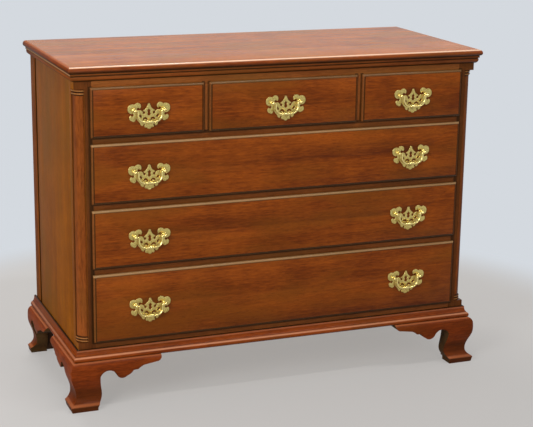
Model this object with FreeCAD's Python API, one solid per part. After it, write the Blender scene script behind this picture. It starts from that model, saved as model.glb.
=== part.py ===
import FreeCAD, Part
import math
import os

# A chest of drawers in red-brown wood: three small drawers over three long ones, between quarter
# columns, under a moulded top and on four ogee bracket feet.  Each drawer has a lipped,
# thumb-moulded front, dovetailed sides and pierced brass pulls with swinging bails.
#
# Millimetres.  X runs to the right, Y from the front to the back and Z up.
# The origin is on the floor, under the middle of the whole chest.

# --- case ------------------------------------------------------------------------------------
case_width = 1090.0           # across the faces of the sides
case_depth = 468.0            # front of the posts to the back of the back boards
foot_height = 128.5           # floor to the underside of the case
top_thickness = 16.0
top_overhang = 16.5           # past the front and the sides
top_back_overhang = 15.0
side_thickness = 20.0
post_width = 44.0
post_depth = 45.0
rear_stile_width = 66.0       # seen from the side, with its sunk strip
stile_groove_width = 18.0     # sunk strip beside the side panel
stile_groove_depth = 6.0
back_thickness = 9.0
back_lap = 12.0               # how far the back boards lap the rear stiles
back_board_count = 5
bottom_board_thickness = 12.0
board_chamfer = 1.2

# --- drawer rows, from the bottom rail up ------------------------------------------------------
bottom_rail_height = 49.0
top_rail_height = 39.5
rail_thickness = 24.0         # height of a rail between two rows of drawers
rail_depth = 60.0             # front to back
edge_rail_depth = 24.0        # front to back, of the top and the bottom rail
tenon_length = 10.0
tenon_inset = 5.0             # a tenon is this much smaller than its rail on each face
lower_opening = 169.0
middle_opening = 141.0
upper_opening = 142.0
small_opening = 116.5
divider_thickness = 23.0
middle_opening_width = 395.0  # of the small drawer in the middle

# --- drawers -----------------------------------------------------------------------------------
lip_overlap = 4.0             # the lip laps the frame by this much all round
lip_clearance = 0.3           # between the lip and the frame
front_proud = 11.0            # face of a drawer in front of the face of the case
lip_edge = 4.0                # flat outer edge of the lip
thumb_radius = 5.5
thumb_step = 0.5
front_rabbet = 11.0           # part of the front that stands inside the opening
side_clearance = 1.2          # each side and above
running_clearance = 0.3       # over the runners
drawer_side_thickness = 12.0
drawer_back_thickness = 12.0
drawer_side_drop = 3.0        # top of the sides below the top of the front's tongue
drawer_end_gap = 12.0         # from the back of a drawer to the back boards
drawer_bottom_thickness = 7.0
groove_height = 9.0           # under the drawer bottom
groove_depth = 5.0
groove_slack = 0.5
dovetail_pitch = 36.0
dovetail_share = 0.56         # of the pitch, at the narrow end of a tail
dovetail_flare = 2.6          # each side of a tail

# --- runners, guides and kickers -----------------------------------------------------------------
runner_height = 20.0
runner_reach = 45.0           # from the inside of the case
rear_rail_depth = 20.0
guide_height = 18.0
middle_runner_width = 64.0

# --- quarter columns -------------------------------------------------------------------------------
column_notch = 26.0
column_recess = 3.0           # the shaft stands back from the faces of the case
column_drop = 2.5             # foot of a column below the lowest opening
ring_height = 6.0
ring_gap = 1.2
ring_end = 1.0                # plain end beyond the outer ring

# --- mouldings, given by how far they stand out from the case -------------------------------------
moulding_back_reach = 10.0    # mouldings and feet run on past the back of the case
top_round_out = 8.5
top_round_drop = 8.5
top_edge_flat = 0.5           # upright band between its upper and lower rounds
under_moulding_height = 20.0
under_fillet_out = 10.5
under_fillet_height = 5.8
under_quirk = 1.2
under_bead_out = 8.0
under_bead_foot = 2.2
base_moulding_height = 30.5
base_bead_out = 15.5
base_bead_height = 12.0
base_cove_out = 12.2
base_cove_top_out = 5.5
base_top_fillet = 2.5
base_top_round = 3.5

# --- bracket feet ------------------------------------------------------------------------------------
foot_top_out = 14.0
foot_brow_out = 23.5
foot_brow_drop = 9.0          # below the top of the foot
foot_bulge_out = 25.4
foot_bulge_drop = 22.0
foot_belly_out = 24.3
foot_belly_drop = 42.0
foot_swing_out = 17.8
foot_swing_drop = 61.0
foot_waist_out = 10.6
foot_waist_height = 43.0
foot_hollow_out = 11.4
foot_hollow_height = 30.0
foot_ledge_out = 17.6         # middle of the hollowed ledge that runs out to the toe
foot_ledge_height = 21.2
foot_toe_out = 27.2
foot_toe_height = 15.0
foot_sole_out = 24.0
bracket_inset = 20.0          # the flat back of a bracket, inside the face of the case
rear_bracket_thickness = 18.0
rear_bracket_length = 150.0
rear_bracket_drop = 34.0
rear_bracket_bend = (72.0, 92.0)
rear_leg_width = 32.5         # of the scrolled bracket, along the side
rear_plain_width = 44.5       # of the plain bracket, in from the side
rear_leg_edge = [(46.5, 12.0), (42.0, 44.0), (52.0, 76.0)]
glue_block = 18.0
glue_block_lift = 6.0         # clear of the floor
cutting_margin = 5.0          # how far the shapes that cut out a foot run past it

# Lower edge of a bracket: distance in from the face of the case, and drop below the case.
# Each step is a straight line to a point, or an arc through a point to another.
bracket_tip = (212.0, 0.0)
bracket_scroll = [
    ("arc", (209.0, 10.0), (197.0, 15.5)),
    ("line", (164.0, 20.5)),
    ("arc", (155.0, 25.0), (148.5, 30.0)),
    ("line", (136.0, 31.0)),
    ("arc", (130.5, 38.0), (120.0, 44.5)),
    ("arc", (103.0, 49.4), (92.5, 39.0)),
    ("arc", (70.5, 24.8), (49.5, 40.0)),
]
leg_knee = (50.5, 74.0)       # distance in, and height above the floor
leg_waist = (52.8, 60.0)
leg_ankle = (55.8, 42.0)
leg_heel = (53.5, 27.0)
leg_toe = (45.5, 15.0)
leg_sole = (43.0, 0.0)
leg_points = [leg_knee, leg_waist, leg_ankle, leg_heel, leg_toe, leg_sole]

# --- pulls ---------------------------------------------------------------------------------------------
plate_thickness = 1.8
pull_rise = 3.5               # line of the plate above the middle of its drawer
post_line = -1.0              # centres of the posts, from the line of the plate
boring = 76.0                 # between the posts
post_flange_radius = 5.2
post_flange_height = 1.6
post_neck_radius = 3.0
post_ball_radius = 4.3
pivot_stand_off = 9.6         # pivot of the bail in front of the plate
shank_radius = 2.5
shank_clearance = 0.3
nut_width = 10.0
nut_thickness = 4.0
shank_end = 2.0               # past the nut
pin_radius = 1.8
pin_clearance = 0.25
bail_gap = 0.4                # between the bail and the ball of a post
bail_radius = 2.4
bail_shoulder = 3.2           # bend under the pin
bail_corner = 17.5
bail_drop = 28.3              # pivot to the middle of the grip
grip_radius = 4.2
grip_half_length = 10.8
grip_collar_radius = 3.3
grip_collar_half = 1.2

# Half of the plate's edge, from the top of its middle to the bottom: across, and up.
plate_top = (0.0, 15.6)
plate_edge = [
    ("arc", (2.4, 14.4), (3.1, 11.8)),
    ("arc", (7.0, 4.2), (13.7, -1.2)),
    ("arc", (14.7, -3.0), (12.9, -4.2)),
    ("arc", (9.5, -7.6), (12.2, -11.0)),
    ("arc", (14.8, -9.6), (15.6, -6.9)),
    ("arc", (18.4, -2.6), (22.6, -0.5)),
    ("line", (25.3, -0.7)),
    ("arc", (30.7, 2.2), (25.3, 4.9)),
    ("arc", (23.2, 3.6), (21.1, 5.2)),
    ("arc", (21.2, 12.6), (28.5, 17.2)),
    ("arc", (33.6, 15.8), (37.4, 12.3)),
    ("arc", (50.0, 11.8), (53.9, 2.8)),
    ("arc", (51.7, -5.0), (45.6, -8.8)),
    ("line", (44.4, -9.8)),
    ("arc", (39.0, -12.2), (44.4, -14.6)),
    ("line", (46.9, -13.2)),
    ("arc", (50.0, -19.4), (43.6, -27.0)),
    ("arc", (38.8, -28.8), (35.2, -26.4)),
    ("arc", (33.6, -22.8), (33.5, -19.0)),
    ("arc", (29.0, -26.2), (22.6, -33.4)),
    ("arc", (21.2, -37.8), (17.6, -40.4)),
    ("arc", (15.3, -39.8), (14.7, -38.0)),
    ("arc", (12.7, -35.9), (10.6, -38.2)),
    ("arc", (12.2, -42.0), (9.0, -44.8)),
    ("arc", (6.4, -44.4), (5.0, -45.4)),
    ("arc", (3.2, -47.3), (0.0, -48.0)),
]
# Half of the hole in the middle of the plate, from its top to its bottom.
hourglass_top = (0.0, 3.2)
hourglass_edge = [
    ("arc", (2.0, -0.4), (4.7, -3.2)),
    ("arc", (3.4, -5.0), (2.9, -6.8)),
    ("arc", (3.3, -8.8), (4.4, -11.0)),
    ("arc", (2.8, -13.8), (0.0, -15.4)),
]
crescent_tip = (15.6, -24.4)
crescent_edge = [
    ("arc", (9.8, -18.7), (3.9, -25.4)),
    ("arc", (4.4, -26.8), (5.9, -26.8)),
    ("arc", (9.8, -23.4), (13.8, -25.8)),
    ("arc", (15.2, -25.8), (15.6, -24.4)),
]
oval_centre = (21.8, -15.8)
oval_long = 4.6
oval_short = 2.6
oval_tilt = 52.0              # degrees from level

# --- places worked out from the sizes above ---------------------------------------------------------
half_width = case_width / 2
case_bottom = foot_height
openings = [lower_opening, middle_opening, upper_opening, small_opening]
rails_between = (len(openings) - 1) * rail_thickness
case_height = bottom_rail_height + sum(openings) + rails_between + top_rail_height
case_top = case_bottom + case_height
pull_reach = front_proud + plate_thickness + pivot_stand_off + max(post_ball_radius, grip_radius)
front_reach = max(pull_reach, foot_toe_out, foot_bulge_out, top_overhang)
whole_depth = front_reach + case_depth + top_back_overhang
case_front = front_reach - whole_depth / 2
case_back = case_front + case_depth
moulding_back = case_back + moulding_back_reach
post_back = case_front + post_depth
opening_half = half_width - post_width
inner_half = half_width - side_thickness
stile_front = case_back - rear_stile_width
back_front = case_back - back_thickness
divider_centre = (middle_opening_width + divider_thickness) / 2
drawer_face = case_front - front_proud
drawer_back_end = back_front - drawer_end_gap
front_inside = case_front + front_rabbet


def row_floor(row):
    """Height of the bottom of an opening; row 0 is the lowest."""
    return case_bottom + bottom_rail_height + sum(openings[:row]) + row * rail_thickness


column_bottom = row_floor(0) - column_drop
column_top = case_top - top_rail_height

# Each drawer: name, row, and the two sides of its opening.
side_opening_inner = divider_centre + divider_thickness / 2
long_drawers = ["lower", "middle", "upper"]
small_row = len(long_drawers)
drawers = [
    ("top_left", small_row, -opening_half, -side_opening_inner),
    ("top_middle", small_row, -middle_opening_width / 2, middle_opening_width / 2),
    ("top_right", small_row, side_opening_inner, opening_half),
]
for long_row, long_name in enumerate(long_drawers):
    drawers.append((long_name, long_row, -opening_half, opening_half))
pull_offset = (opening_half + side_opening_inner) / 2
foot_reach = max(foot_bulge_out, foot_toe_out) + cutting_margin


# --- helpers ------------------------------------------------------------------------------------------
def point(x, y, z):
    return FreeCAD.Vector(x, y, z)


def block(x_pair, y_pair, z_pair):
    """A box between two values along each axis."""
    low = point(min(x_pair), min(y_pair), min(z_pair))
    lengths = [abs(pair[1] - pair[0]) for pair in (x_pair, y_pair, z_pair)]
    return Part.makeBox(lengths[0], lengths[1], lengths[2], low)


def edges_of(start, steps, place):
    """Lines, arcs and curves along the steps; place turns a pair of numbers into a point."""
    edges = []
    here = start
    for step in steps:
        end = step[-1]
        if step[0] == "line":
            edges.append(Part.LineSegment(place(here), place(end)).toShape())
        elif step[0] == "arc":
            edges.append(Part.Arc(place(here), place(step[1]), place(end)).toShape())
        else:
            curve = Part.BSplineCurve()
            curve.interpolate([place(pair) for pair in (here,) + step[1:]])
            edges.append(curve.toShape())
        here = end
    return edges


def closed_face(start, steps, place):
    """A face inside the steps, closed by a straight line where they don't meet."""
    edges = edges_of(start, steps, place)
    if steps[-1][-1] != start:
        edges.append(Part.LineSegment(place(steps[-1][-1]), place(start)).toShape())
    return Part.Face(Part.Wire(edges))


def mirrored_face(start, steps, place):
    """A face whose edge is the steps on one side and their mirror image on the other."""
    def other_side(pair):
        return place((-pair[0], pair[1]))
    edges = edges_of(start, steps, place)
    edges += reversed(edges_of(start, steps, other_side))
    return Part.Face(Part.Wire(Part.__sortEdges__(edges)))


def polygon_face(points):
    return Part.Face(Part.makePolygon(points + points[:1]))


def along_x(face, length):
    return face.extrude(point(length, 0, 0))


def along_y(face, length):
    return face.extrude(point(0, length, 0))


def along_z(face, length):
    return face.extrude(point(0, 0, length))


def tidy(shape):
    """One clean solid from the result of a cut or a join."""
    solid = shape.removeSplitter()
    return solid.Solids[0]


def save(node, solids):
    """Write one node; several solids go together in one file."""
    shape = solids[0] if len(solids) == 1 else Part.makeCompound(solids)
    shape.exportStep("parts/" + node + ".step")


# --- mouldings round the front and both sides -----------------------------------------------------------
def front_plan(out, inset, z_pair):
    """Plan of what belongs to the front, between its two mitres."""
    corners = [
        point(-half_width - out, case_front - out, z_pair[0]),
        point(half_width + out, case_front - out, z_pair[0]),
        point(half_width - inset, case_front + inset, z_pair[0]),
        point(-half_width + inset, case_front + inset, z_pair[0]),
    ]
    return along_z(polygon_face(corners), z_pair[1] - z_pair[0])


def side_plan(side, out, inset, back, z_pair):
    """Plan of what belongs to one side, behind its mitre."""
    corners = [
        point(side * (half_width + out), case_front - out, z_pair[0]),
        point(side * (half_width + out), back, z_pair[0]),
        point(side * (half_width - inset), back, z_pair[0]),
        point(side * (half_width - inset), case_front + inset, z_pair[0]),
    ]
    return along_z(polygon_face(corners), z_pair[1] - z_pair[0])


def front_run(start, steps, reach):
    """A profile, given as distance out and height, run along the front."""
    def place(pair):
        return point(-half_width - reach, case_front - pair[0], pair[1])
    return along_x(closed_face(start, steps, place), case_width + 2 * reach)


def side_run(start, steps, side, reach, back):
    """The same profile run along one side."""
    def place(pair):
        return point(side * (half_width + pair[0]), case_front - reach, pair[1])
    return along_y(closed_face(start, steps, place), back - case_front + reach)


def moulding(start, steps, out, z_pair):
    """Three lengths of moulding, mitred at the front corners."""
    pieces = [front_run(start, steps, out).common(front_plan(out, 0, z_pair))]
    for side in (-1, 1):
        run = side_run(start, steps, side, out, moulding_back)
        pieces.append(run.common(side_plan(side, out, 0, moulding_back, z_pair)))
    return [tidy(piece) for piece in pieces]


def top_moulding():
    """The fillet and bead under the overhang of the top."""
    foot = case_top - under_moulding_height
    fillet = case_top - under_fillet_height
    bead = fillet - under_quirk
    swell = ((under_bead_out - under_bead_foot) * 0.82 + under_bead_foot, foot + (bead - foot) * 0.3)
    steps = [
        ("line", (under_fillet_out, case_top)),
        ("line", (under_fillet_out, fillet)),
        ("line", (under_bead_out - under_quirk, fillet)),
        ("line", (under_bead_out - under_quirk, bead)),
        ("line", (under_bead_out, bead)),
        ("arc", swell, (under_bead_foot, foot)),
        ("line", (0, foot)),
    ]
    return moulding((0, case_top), steps, under_fillet_out, (foot, case_top))


def base_moulding():
    """A bead, a long cove and a small round, lapping the bottom of the case."""
    top = case_bottom + base_moulding_height
    bead_top = case_bottom + base_bead_height
    round_foot = top - base_top_round
    cove_top = round_foot - base_top_fillet
    bead_start = base_bead_out - base_bead_height / 4
    cove_middle = (
        base_cove_top_out + (base_cove_out - base_cove_top_out) * 0.24,
        bead_top + (cove_top - bead_top) * 0.48,
    )
    round_middle = base_top_round * math.sin(math.radians(45))
    steps = [
        ("line", (bead_start, case_bottom)),
        ("arc", (base_bead_out, case_bottom + base_bead_height / 2), (bead_start, bead_top)),
        ("line", (base_cove_out, bead_top)),
        ("arc", cove_middle, (base_cove_top_out, cove_top)),
        ("line", (base_cove_top_out, round_foot)),
        ("arc",
         (base_cove_top_out - base_top_round + round_middle, round_foot + round_middle),
         (base_cove_top_out - base_top_round, top)),
        ("line", (0, top)),
    ]
    return moulding((0, case_bottom), steps, base_bead_out, (case_bottom, top))


# --- case -----------------------------------------------------------------------------------------------
def top_edge(line, outwards):
    """Steps round the moulded edge of the top, from its upper face to its underside."""
    top = case_top + top_thickness
    nose = top - top_round_drop
    under = nose - top_edge_flat - case_top
    lean = 1 - math.sqrt(0.5)
    upper = (line - outwards * top_round_out * lean, top - top_round_drop * lean)
    lower = (line - outwards * under * lean, case_top + under * lean)
    return [
        ("line", (line - outwards * top_round_out, top)),
        ("arc", upper, (line, nose)),
        ("line", (line, case_top + under)),
        ("arc", lower, (line - outwards * under, case_top)),
    ]


def top_board():
    """The top, moulded along its front and both ends."""
    front = case_front - top_overhang
    back = case_back + top_back_overhang
    end = half_width + top_overhang
    top = case_top + top_thickness
    across = closed_face(
        (back, top), top_edge(front, -1) + [("line", (back, case_top))],
        lambda pair: point(-end, pair[0], pair[1]))
    lengthways = mirrored_face(
        (0, top), top_edge(end, 1) + [("line", (0, case_top))],
        lambda pair: point(pair[0], front, pair[1]))
    return tidy(along_x(across, 2 * end).common(along_y(lengthways, back - front)))


def rail(z_pair, depth):
    """One front rail with a stub tenon at each end."""
    reach = opening_half + tenon_length
    body = block((-opening_half, opening_half), (case_front, case_front + depth), z_pair)
    tenon_back = case_front + min(depth, post_depth) - tenon_inset
    tenon = block(
        (-reach, reach), (case_front + tenon_inset, tenon_back),
        (z_pair[0] + tenon_inset, z_pair[1] - tenon_inset))
    return tidy(body.fuse(tenon))


def divider(side):
    """An upright between two small drawers, tenoned into the rails above and below."""
    x_pair = (side * side_opening_inner, side * middle_opening_width / 2)
    body = block(x_pair, (case_front, case_front + rail_depth), (row_floor(small_row), column_top))
    tenon = block(
        (x_pair[0] - side * tenon_inset, x_pair[1] + side * tenon_inset),
        (case_front + tenon_inset, case_front + edge_rail_depth - tenon_inset),
        (row_floor(small_row) - tenon_length, column_top + tenon_length))
    return tidy(body.fuse(tenon))


def front_rails():
    """The bottom rail, the three between the rows, and the top rail."""
    rails = [rail((case_bottom, row_floor(0)), edge_rail_depth)]
    for row in range(1, len(openings)):
        rails.append(rail((row_floor(row) - rail_thickness, row_floor(row)), rail_depth))
    rails.append(rail((column_top, case_top), edge_rail_depth))
    mortised = []
    for solid in rails:
        for side in (-1, 1):
            solid = solid.cut(divider(side))
        mortised.append(tidy(solid))
    return mortised


def front_post(side):
    """A front corner post, notched for its quarter column and mortised for the rails."""
    outer = side * half_width
    solid = block(
        (outer, side * opening_half), (case_front, post_back), (case_bottom, case_top))
    notch = block(
        (outer, outer - side * column_notch), (case_front, case_front + column_notch),
        (column_bottom, column_top))
    solid = solid.cut(notch)
    for tenoned in front_rails():
        solid = solid.cut(tenoned)
    return tidy(solid)


def quarter_column(side):
    """A quarter round with two beads at each end, set in the notch of its post."""
    shaft = column_notch - column_recess
    pitch = ring_height + ring_gap
    lower = column_bottom + ring_end
    upper = column_top - ring_end - ring_height - pitch
    steps = [("line", (shaft, column_bottom))]
    for foot in (lower, lower + pitch, upper, upper + pitch):
        steps.append(("line", (shaft, foot)))
        steps.append(("arc", (column_notch, foot + ring_height / 2), (shaft, foot + ring_height)))
    steps.append(("line", (shaft, column_top)))
    steps.append(("line", (0, column_top)))
    axis = point(side * (half_width - column_notch), case_front + column_notch, 0)
    across = (0, -1) if side > 0 else (-1, 0)
    profile = closed_face(
        (0, column_bottom), steps,
        lambda pair: axis + point(across[0] * pair[0], across[1] * pair[0], pair[1]))
    return profile.revolve(axis, point(0, 0, 1), 90)


def side_panel(side):
    """The flat side, between the front post and the rear stile."""
    return block(
        (side * half_width, side * inner_half), (post_back, stile_front), (case_bottom, case_top))


def rear_stile(side):
    """An upright at the back of a side, with a sunk strip along the side panel."""
    outer = side * half_width
    body = block((outer, side * inner_half), (stile_front, case_back), (case_bottom, case_top))
    groove = block(
        (outer, outer - side * stile_groove_depth),
        (stile_front, stile_front + stile_groove_width), (case_bottom, case_top))
    rabbet = block(
        (side * inner_half, side * (inner_half + back_lap)), (back_front, case_back),
        (case_bottom, case_top))
    return tidy(body.cut(groove).cut(rabbet))


def back_boards():
    """Level boards across the back, with eased edges where they meet."""
    half = inner_half + back_lap
    height = case_height / back_board_count
    boards = []
    for number in range(back_board_count):
        low = case_bottom + number * height
        high = low + height
        corners = [
            (back_front, low),
            (case_back - board_chamfer, low),
            (case_back, low + board_chamfer),
            (case_back, high - board_chamfer),
            (case_back - board_chamfer, high),
            (back_front, high),
        ]
        face = polygon_face([point(-half, y, z) for y, z in corners])
        boards.append(along_x(face, 2 * half))
    return boards


def bottom_board():
    """The board that closes the case underneath, cut round the front posts."""
    board = block(
        (-inner_half, inner_half), (case_front + edge_rail_depth, back_front),
        (case_bottom, case_bottom + bottom_board_thickness))
    for side in (-1, 1):
        board = board.cut(block(
            (side * opening_half, side * half_width), (case_front, post_back),
            (case_bottom, case_top)))
    return tidy(board)


def drawer_runners():
    """Runners at both sides and under the dividers, and a rear rail for each row."""
    rear = back_front - rear_rail_depth
    solids = []
    for row in range(len(openings)):
        level = (row_floor(row) - runner_height, row_floor(row))
        start = max(post_back, case_front + rail_depth) if row else post_back
        for side in (-1, 1):
            x_pair = (side * inner_half, side * (inner_half - runner_reach))
            solids.append(block(x_pair, (start, rear), level))
        solids.append(block((-inner_half, inner_half), (rear, back_front), level))
    for side in (-1, 1):
        middle = side * divider_centre
        x_pair = (middle - middle_runner_width / 2, middle + middle_runner_width / 2)
        solids.append(block(x_pair, (case_front + rail_depth, rear), level))
    solids.append(block(
        (-inner_half, inner_half), (rear, back_front), (column_top, case_top)))
    return solids


def drawer_guides():
    """Strips that keep the drawers straight, and the kickers above the small ones."""
    rear = back_front - rear_rail_depth
    solids = []
    for row in range(len(openings)):
        level = (row_floor(row), row_floor(row) + guide_height)
        for side in (-1, 1):
            x_pair = (side * opening_half, side * inner_half)
            solids.append(block(x_pair, (post_back, back_front), level))
    for side in (-1, 1):
        x_pair = (side * middle_opening_width / 2, side * side_opening_inner)
        solids.append(block(x_pair, (case_front + rail_depth, back_front), level))
        kicker_pairs = [
            ((side * inner_half, side * (inner_half - runner_reach)), post_back),
            ((side * divider_centre - middle_runner_width / 2,
              side * divider_centre + middle_runner_width / 2), case_front + edge_rail_depth),
        ]
        for kicker_pair, start in kicker_pairs:
            solids.append(block(kicker_pair, (start, rear), (column_top, case_top)))
    return solids


# --- feet --------------------------------------------------------------------------------------------------
def ogee_steps():
    """The face of a foot: out at the top, in at the waist, and out by a ledge to the toe."""
    return [
        ("line", (foot_top_out, case_bottom)),
        ("curve",
         (foot_brow_out, case_bottom - foot_brow_drop),
         (foot_bulge_out, case_bottom - foot_bulge_drop),
         (foot_belly_out, case_bottom - foot_belly_drop),
         (foot_swing_out, case_bottom - foot_swing_drop),
         (foot_waist_out, foot_waist_height),
         (foot_hollow_out, foot_hollow_height)),
        ("arc", (foot_ledge_out, foot_ledge_height), (foot_toe_out, foot_toe_height)),
        ("line", (foot_sole_out, 0)),
        ("line", (-bracket_inset, 0)),
    ]


def bracket_face(extra, place):
    """The outline of a bracket, scrolled along its lower edge and down its leg."""
    steps = []
    for step in bracket_scroll:
        pairs = [(pair[0] + extra, case_bottom - pair[1]) for pair in step[1:]]
        steps.append((step[0],) + tuple(pairs))
    leg = [(pair[0] + extra, pair[1]) for pair in leg_points]
    steps.append(("curve",) + tuple(leg))
    steps.append(("line", (-foot_reach, 0)))
    steps.append(("line", (-foot_reach, case_bottom)))
    start = (bracket_tip[0] + extra, case_bottom - bracket_tip[1])
    return closed_face(start, steps, place)


def ogee_start():
    return (-bracket_inset, case_bottom)


def front_foot(side):
    """Two scrolled brackets, mitred at the corner."""
    z_pair = (0, case_bottom)
    front_outline = along_y(bracket_face(
        0, lambda pair: point(side * (half_width - pair[0]), case_front - foot_reach, pair[1])),
        foot_reach + bracket_inset)
    front = front_run(ogee_start(), ogee_steps(), foot_reach)
    front = front.common(front_plan(foot_reach, bracket_inset, z_pair)).common(front_outline)
    side_outline = along_x(bracket_face(
        0, lambda pair: point(side * (half_width + foot_reach), case_front + pair[0], pair[1])),
        -side * (foot_reach + bracket_inset))
    flank = side_run(ogee_start(), ogee_steps(), side, foot_reach, case_back)
    flank = flank.common(side_plan(side, foot_reach, bracket_inset, case_back, z_pair))
    flank = flank.common(side_outline)
    return [tidy(front), tidy(flank)]


def rear_foot(side):
    """A scrolled bracket along the side and a plain one across the back."""
    extra = rear_leg_width - leg_sole[0]
    outline = along_x(bracket_face(
        extra, lambda pair: point(side * (half_width + foot_reach), moulding_back - pair[0], pair[1])),
        -side * (foot_reach + bracket_inset))
    flank = side_run(ogee_start(), ogee_steps(), side, foot_reach, moulding_back).common(outline)
    steps = [
        ("line", (rear_plain_width, 0)),
        ("curve",) + tuple(rear_leg_edge),
        ("arc", rear_bracket_bend, (rear_bracket_length, case_bottom - rear_bracket_drop)),
        ("line", (rear_bracket_length, case_bottom)),
        ("line", (bracket_inset, case_bottom)),
    ]
    plain = along_y(closed_face(
        (bracket_inset, 0), steps,
        lambda pair: point(side * (half_width - pair[0]), moulding_back, pair[1])),
        -rear_bracket_thickness)
    return [tidy(flank), plain]


def foot_glue_blocks():
    """An upright block in the corner of each foot."""
    z_pair = (glue_block_lift, case_bottom)
    rear_end = moulding_back - rear_bracket_thickness
    solids = []
    for side in (-1, 1):
        outer = side * (half_width - bracket_inset)
        x_pair = (outer, outer - side * glue_block)
        front = case_front + bracket_inset
        solids.append(block(x_pair, (front, front + glue_block), z_pair))
        solids.append(block(x_pair, (rear_end, rear_end - glue_block), z_pair))
    return solids


# --- drawers -----------------------------------------------------------------------------------------------
class Drawer:
    """One drawer: its opening, and the places that its pieces share."""

    def __init__(self, name, row, left, right):
        self.name = name
        self.left = left
        self.right = right
        self.floor = row_floor(row)
        self.ceiling = self.floor + openings[row]
        self.tongue_x = (left + side_clearance, right - side_clearance)
        self.tongue_z = (self.floor + running_clearance, self.ceiling - side_clearance)
        self.side_top = self.tongue_z[1] - drawer_side_drop
        self.panel_z = (
            self.tongue_z[0] + groove_height,
            self.tongue_z[0] + groove_height + drawer_bottom_thickness)
        self.middle_x = (left + right) / 2
        self.middle_z = (self.floor + self.ceiling) / 2
        self.back_inside = drawer_back_end - drawer_back_thickness

    def pull_places(self):
        """Where the line of each plate meets its own middle."""
        height = self.middle_z + pull_rise
        if self.right - self.left > 2 * pull_offset:
            return [(-pull_offset, height), (pull_offset, height)]
        return [(self.middle_x, height)]


def tails(x_pair, z_pair, root, tip):
    """Dovetails along an upright edge, from their roots to their wider tips."""
    height = z_pair[1] - z_pair[0]
    count = max(2, round(height / dovetail_pitch))
    pitch = height / count
    half_root = pitch * dovetail_share / 2
    half_tip = half_root + dovetail_flare
    solids = []
    for number in range(count):
        middle = z_pair[0] + pitch * (number + 0.5)
        corners = [(root, -half_root), (tip, -half_tip), (tip, half_tip), (root, half_root)]
        face = polygon_face([point(x_pair[0], y, middle + rise) for y, rise in corners])
        solids.append(along_x(face, x_pair[1] - x_pair[0]))
    return solids


def panel_groove(drawer):
    """The room for the drawer bottom in the front and the sides."""
    inset = drawer_side_thickness - groove_depth
    return block(
        (drawer.tongue_x[0] + inset, drawer.tongue_x[1] - inset),
        (front_inside - groove_depth, drawer_back_end), drawer.panel_z)


def drawer_side(drawer, side):
    """A side, with tails at the front and at the back and a groove for the bottom."""
    outer = drawer.tongue_x[0] if side < 0 else drawer.tongue_x[1]
    x_pair = (outer, outer - side * drawer_side_thickness)
    z_pair = (drawer.tongue_z[0], drawer.side_top)
    board = block(x_pair, (front_inside, drawer_back_end), z_pair)
    corner = (drawer.panel_z[1], drawer.side_top)
    board = board.cut(block(x_pair, (drawer.back_inside, drawer_back_end), corner))
    board = board.multiFuse(
        tails(x_pair, z_pair, front_inside, case_front)
        + tails(x_pair, corner, drawer.back_inside, drawer_back_end))
    return tidy(board.cut(panel_groove(drawer)))


def drawer_box(drawer):
    """Both sides and the back."""
    sides = [drawer_side(drawer, side) for side in (-1, 1)]
    back = block(
        drawer.tongue_x, (drawer.back_inside, drawer_back_end),
        (drawer.panel_z[1], drawer.side_top))
    for board in sides:
        back = back.cut(board)
    return sides + [tidy(back)]


def drawer_bottom(drawer):
    """A panel in the grooves, passing under the back."""
    inset = drawer_side_thickness - groove_depth + groove_slack
    return block(
        (drawer.tongue_x[0] + inset, drawer.tongue_x[1] - inset),
        (front_inside - groove_depth + groove_slack, drawer_back_end), drawer.panel_z)


def lip_steps(half):
    """Half of a lipped and thumb-moulded front, as distance from its middle and distance out."""
    shoulder = lip_edge + thumb_radius
    bend = thumb_radius * math.sqrt(0.5)
    inner = half - thumb_radius - thumb_step
    return [
        ("line", (half, lip_clearance)),
        ("line", (half, lip_edge)),
        ("arc", (half - thumb_radius + bend, lip_edge + bend), (half - thumb_radius, shoulder)),
        ("line", (inner, shoulder)),
        ("line", (inner, front_proud)),
        ("line", (0, front_proud)),
    ]


def drawer_front(drawer):
    """The front: a moulded slab with a lip, and a tongue that fits the opening."""
    half_wide = (drawer.right - drawer.left) / 2 + lip_overlap
    half_high = (drawer.ceiling - drawer.floor) / 2 + lip_overlap
    level = mirrored_face(
        (0, lip_clearance), lip_steps(half_wide),
        lambda pair: point(
            drawer.middle_x + pair[0], case_front - pair[1], drawer.middle_z - half_high))
    upright = mirrored_face(
        (0, lip_clearance), lip_steps(half_high),
        lambda pair: point(
            drawer.middle_x - half_wide, case_front - pair[1], drawer.middle_z + pair[0]))
    solid = along_z(level, 2 * half_high).common(along_x(upright, 2 * half_wide))
    tongue = block(drawer.tongue_x, (case_front - lip_clearance, front_inside), drawer.tongue_z)
    solid = solid.fuse(tongue)
    for side in (-1, 1):
        solid = solid.cut(drawer_side(drawer, side))
    inset = drawer_side_thickness
    groove = panel_groove(drawer).common(block(
        (drawer.tongue_x[0] + inset, drawer.tongue_x[1] - inset),
        (case_front, front_inside), drawer.tongue_z))
    solid = solid.cut(groove)
    for x, z in drawer.pull_places():
        for side in (-1, 1):
            hole = Part.makeCylinder(
                shank_radius + shank_clearance, front_proud + front_rabbet,
                point(x + side * boring / 2, drawer_face, z + post_line), point(0, 1, 0))
            solid = solid.cut(hole)
    return tidy(solid)


# --- pulls -------------------------------------------------------------------------------------------------
def plate_place(pair):
    """A point of the plate's outline, for a plate at the origin with its back on Y = 0."""
    return point(pair[0], 0, pair[1])


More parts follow.
